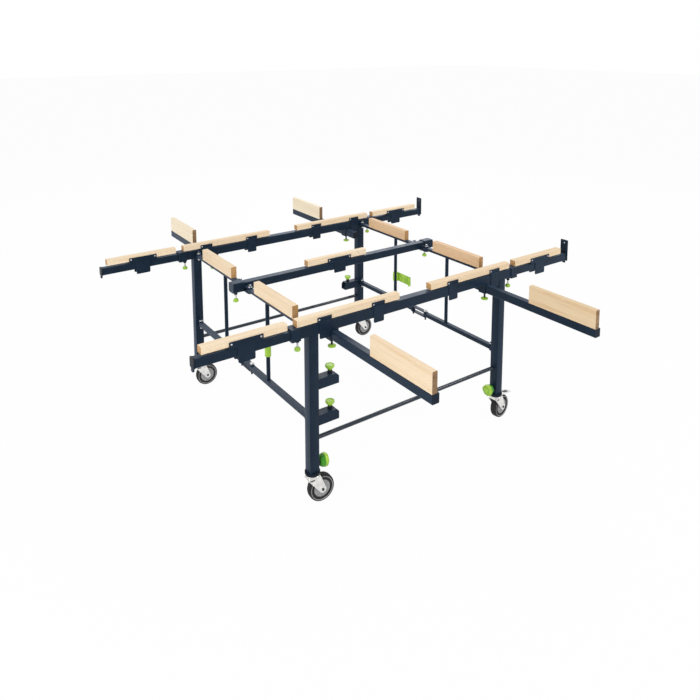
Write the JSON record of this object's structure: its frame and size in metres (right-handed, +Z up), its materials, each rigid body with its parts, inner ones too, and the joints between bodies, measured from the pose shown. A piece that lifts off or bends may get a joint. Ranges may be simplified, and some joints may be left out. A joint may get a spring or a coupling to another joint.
{
  "type": "mobile saw table",
  "caption": "Mobile folding saw table: dark painted steel rails and legs on casters, wooden support slats, pull-out extensions and cross arms, green clamp knobs.",
  "frame": {"origin": "on the floor, under the middle of the table", "axes": "+X along the long rails towards the work stops, +Y from the front rail to the back rail, +Z up"},
  "size_m": [1.81, 2.116, 0.735],
  "materials": {
    "navy": "satin powder coat",
    "wood": "planed, uncoated",
    "green": "moulded satin",
    "zinc": "zinc plated",
    "tyre": "matt grey"
  },
  "bodies": {
    "front_frame": {"front_rail": "navy", "front_leg_frame": "navy", "front_slats": "wood", "front_slat_clips": "navy", "front_brackets": "navy", "front_arm_sockets": "navy", "front_clamp_knobs": "green"},
    "back_frame": {"back_rail": "navy", "back_leg_frame": "navy", "back_slats": "wood", "back_slat_clips": "navy", "back_brackets": "navy", "back_arm_sockets": "navy", "back_clamp_knobs": "green"},
    "left_front_panel": {"left_front_panel": "navy", "left_front_panel_slat": "wood"},
    "left_back_panel": {"left_back_panel": "navy", "left_back_panel_slat": "wood"},
    "right_front_panel": {"right_front_panel": "navy", "right_front_panel_slat": "wood"},
    "right_back_panel": {"right_back_panel": "navy", "right_back_panel_slat": "wood"},
    "centre": {"centre_beam": "navy", "centre_slat": "wood", "hinge_links": "navy", "centre_clamp_knobs": "green"},
    "left_front_hook": {"left_front_hook": "green"},
    "right_back_hook": {"right_back_hook": "green"},
    "front_left_extension": {"front_left_extension": "navy", "front_left_extension_slat": "wood"},
    "front_left_arm": {"front_left_arm": "navy", "front_left_board": "wood"},
    "front_left_inner_leg": {"front_left_inner_leg": "navy"},
    "front_left_caster_fork": {"front_left_caster_fork": "zinc"},
    "front_left_wheel": {"front_left_wheel": "tyre"},
    "front_left_leg_knob": {"front_left_leg_knob": "green"},
    "front_right_extension": {"front_right_extension": "navy", "front_right_extension_slat": "wood"},
    "front_right_arm": {"front_right_arm": "navy", "front_right_board": "wood"},
    "front_right_inner_leg": {"front_right_inner_leg": "navy"},
    "front_right_caster_fork": {"front_right_caster_fork": "zinc"},
    "front_right_wheel": {"front_right_wheel": "tyre"},
    "front_right_leg_knob": {"front_right_leg_knob": "green"},
    "back_left_extension": {"back_left_extension": "navy", "back_left_extension_slat": "wood"},
    "back_left_arm": {"back_left_arm": "navy", "back_left_board": "wood"},
    "back_left_inner_leg": {"back_left_inner_leg": "navy"},
    "back_left_caster_fork": {"back_left_caster_fork": "zinc"},
    "back_left_wheel": {"back_left_wheel": "tyre"},
    "back_left_leg_knob": {"back_left_leg_knob": "green"},
    "back_right_extension": {"back_right_extension": "navy", "back_right_extension_slat": "wood"},
    "back_right_arm": {"back_right_arm": "navy", "back_right_board": "wood"},
    "back_right_inner_leg": {"back_right_inner_leg": "navy"},
    "back_right_caster_fork": {"back_right_caster_fork": "zinc"},
    "back_right_wheel": {"back_right_wheel": "tyre"},
    "back_right_leg_knob": {"back_right_leg_knob": "green"}
  },
  "joints": [
    {"name": "fold", "type": "hinge", "parent": "centre", "child": "left_front_panel", "pos_m": [-0.47, -0.045, 0.5], "axis": [0, 0, -1], "range_deg": [0, 84]},
    {"name": "front_left_pivot", "type": "hinge", "parent": "left_front_panel", "child": "front_frame", "pos_m": [-0.47, -0.48, 0.5], "axis": [0, 0, -1], "range_deg": [-84, 0]},
    {"name": "centre_left_back_pivot", "type": "hinge", "parent": "centre", "child": "left_back_panel", "pos_m": [-0.47, 0.045, 0.5], "axis": [0, 0, -1], "range_deg": [-84, 0]},
    {"name": "back_left_pivot", "type": "hinge", "parent": "left_back_panel", "child": "back_frame", "pos_m": [-0.47, 0.48, 0.5], "axis": [0, 0, -1], "range_deg": [0, 84]},
    {"name": "centre_right_front_pivot", "type": "hinge", "parent": "centre", "child": "right_front_panel", "pos_m": [0.47, -0.045, 0.5], "axis": [0, 0, -1], "range_deg": [0, 84]},
    {"name": "centre_right_back_pivot", "type": "hinge", "parent": "centre", "child": "right_back_panel", "pos_m": [0.47, 0.045, 0.5], "axis": [0, 0, -1], "range_deg": [-84, 0]},
    {"name": "front_left_extension_slide", "type": "slide", "parent": "front_frame", "child": "front_left_extension", "axis": [-1, 0, 0], "range_m": [-0.0367, 0.06]},
    {"name": "front_left_arm_slide", "type": "slide", "parent": "front_frame", "child": "front_left_arm", "axis": [0, -1, 0], "range_m": [-0.21, 0.05]},
    {"name": "front_left_leg_slide", "type": "slide", "parent": "front_frame", "child": "front_left_inner_leg", "axis": [0, 0, -1], "range_m": [0, 0.2]},
    {"name": "front_left_caster_swivel", "type": "hinge", "parent": "front_left_inner_leg", "child": "front_left_caster_fork", "pos_m": [-0.47, -0.512, 0.105], "axis": [0, 0, 1], "continuous": true},
    {"name": "front_left_wheel_spin", "type": "hinge", "parent": "front_left_caster_fork", "child": "front_left_wheel", "pos_m": [-0.43812, -0.51479, 0.05], "axis": [0.0872, 0.9962, 0], "continuous": true},
    {"name": "front_left_leg_knob_turn", "type": "hinge", "parent": "front_frame", "child": "front_left_leg_knob", "pos_m": [-0.451, -0.512, 0.148], "axis": [1, 0, 0], "range_deg": [0, 360]},
    {"name": "front_right_extension_slide", "type": "slide", "parent": "front_frame", "child": "front_right_extension", "axis": [1, 0, 0], "range_m": [-0.0367, 0.06]},
    {"name": "front_right_arm_slide", "type": "slide", "parent": "front_frame", "child": "front_right_arm", "axis": [0, -1, 0], "range_m": [-0.21, 0.05]},
    {"name": "front_right_leg_slide", "type": "slide", "parent": "front_frame", "child": "front_right_inner_leg", "axis": [0, 0, -1], "range_m": [0, 0.2]},
    {"name": "front_right_caster_swivel", "type": "hinge", "parent": "front_right_inner_leg", "child": "front_right_caster_fork", "pos_m": [0.47, -0.512, 0.105], "axis": [0, 0, 1], "continuous": true},
    {"name": "front_right_wheel_spin", "type": "hinge", "parent": "front_right_caster_fork", "child": "front_right_wheel", "pos_m": [0.50161, -0.50699, 0.05], "axis": [-0.1564, 0.9877, 0], "continuous": true},
    {"name": "front_right_leg_knob_turn", "type": "hinge", "parent": "front_frame", "child": "front_right_leg_knob", "pos_m": [0.451, -0.512, 0.148], "axis": [-1, 0, 0], "range_deg": [0, 360]},
    {"name": "back_left_extension_slide", "type": "slide", "parent": "back_frame", "child": "back_left_extension", "axis": [-1, 0, 0], "range_m": [-0.0367, 0.06]},
    {"name": "back_left_arm_slide", "type": "slide", "parent": "back_frame", "child": "back_left_arm", "axis": [0, 1, 0], "range_m": [-0.182, 0.078]},
    {"name": "back_left_leg_slide", "type": "slide", "parent": "back_frame", "child": "back_left_inner_leg", "axis": [0, 0, -1], "range_m": [0, 0.2]},
    {"name": "back_left_caster_swivel", "type": "hinge", "parent": "back_left_inner_leg", "child": "back_left_caster_fork", "pos_m": [-0.47, 0.512, 0.105], "axis": [0, 0, 1], "continuous": true},
    {"name": "back_left_wheel_spin", "type": "hinge", "parent": "back_left_caster_fork", "child": "back_left_wheel", "pos_m": [-0.43804, 0.51033, 0.05], "axis": [0.0523, 0.9986, 0], "continuous": true},
    {"name": "back_left_leg_knob_turn", "type": "hinge", "parent": "back_frame", "child": "back_left_leg_knob", "pos_m": [-0.451, 0.512, 0.148], "axis": [1, 0, 0], "range_deg": [0, 360]},
    {"name": "back_right_extension_slide", "type": "slide", "parent": "back_frame", "child": "back_right_extension", "axis": [1, 0, 0], "range_m": [-0.0367, 0.06]},
    {"name": "back_right_arm_slide", "type": "slide", "parent": "back_frame", "child": "back_right_arm", "axis": [0, 1, 0], "range_m": [-0.21, 0.05]},
    {"name": "back_right_leg_slide", "type": "slide", "parent": "back_frame", "child": "back_right_inner_leg", "axis": [0, 0, -1], "range_m": [0, 0.2]},
    {"name": "back_right_caster_swivel", "type": "hinge", "parent": "back_right_inner_leg", "child": "back_right_caster_fork", "pos_m": [0.47, 0.512, 0.105], "axis": [0, 0, 1], "continuous": true},
    {"name": "back_right_wheel_spin", "type": "hinge", "parent": "back_right_caster_fork", "child": "back_right_wheel", "pos_m": [0.50198, 0.51312, 0.05], "axis": [-0.0349, 0.9994, 0], "continuous": true},
    {"name": "back_right_leg_knob_turn", "type": "hinge", "parent": "back_frame", "child": "back_right_leg_knob", "pos_m": [0.451, 0.512, 0.148], "axis": [-1, 0, 0], "range_deg": [0, 360]},
    {"name": "left_front_hook_swing", "type": "hinge", "parent": "left_front_panel", "child": "left_front_hook", "pos_m": [-0.47, -0.19, 0.4425], "axis": [0, 0, 1], "range_deg": [0, 90]},
    {"name": "right_back_hook_swing", "type": "hinge", "parent": "right_back_panel", "child": "right_back_hook", "pos_m": [0.47, 0.19, 0.4425], "axis": [0, 0, 1], "range_deg": [0, 90]}
  ],
  "couplings": [
    {"joint": "front_left_pivot", "follows": "fold", "ratio": -1},
    {"joint": "centre_left_back_pivot", "follows": "fold", "ratio": -1},
    {"joint": "back_left_pivot", "follows": "fold", "ratio": 1},
    {"joint": "centre_right_front_pivot", "follows": "fold", "ratio": 1},
    {"joint": "centre_right_back_pivot", "follows": "fold", "ratio": -1}
  ]
}
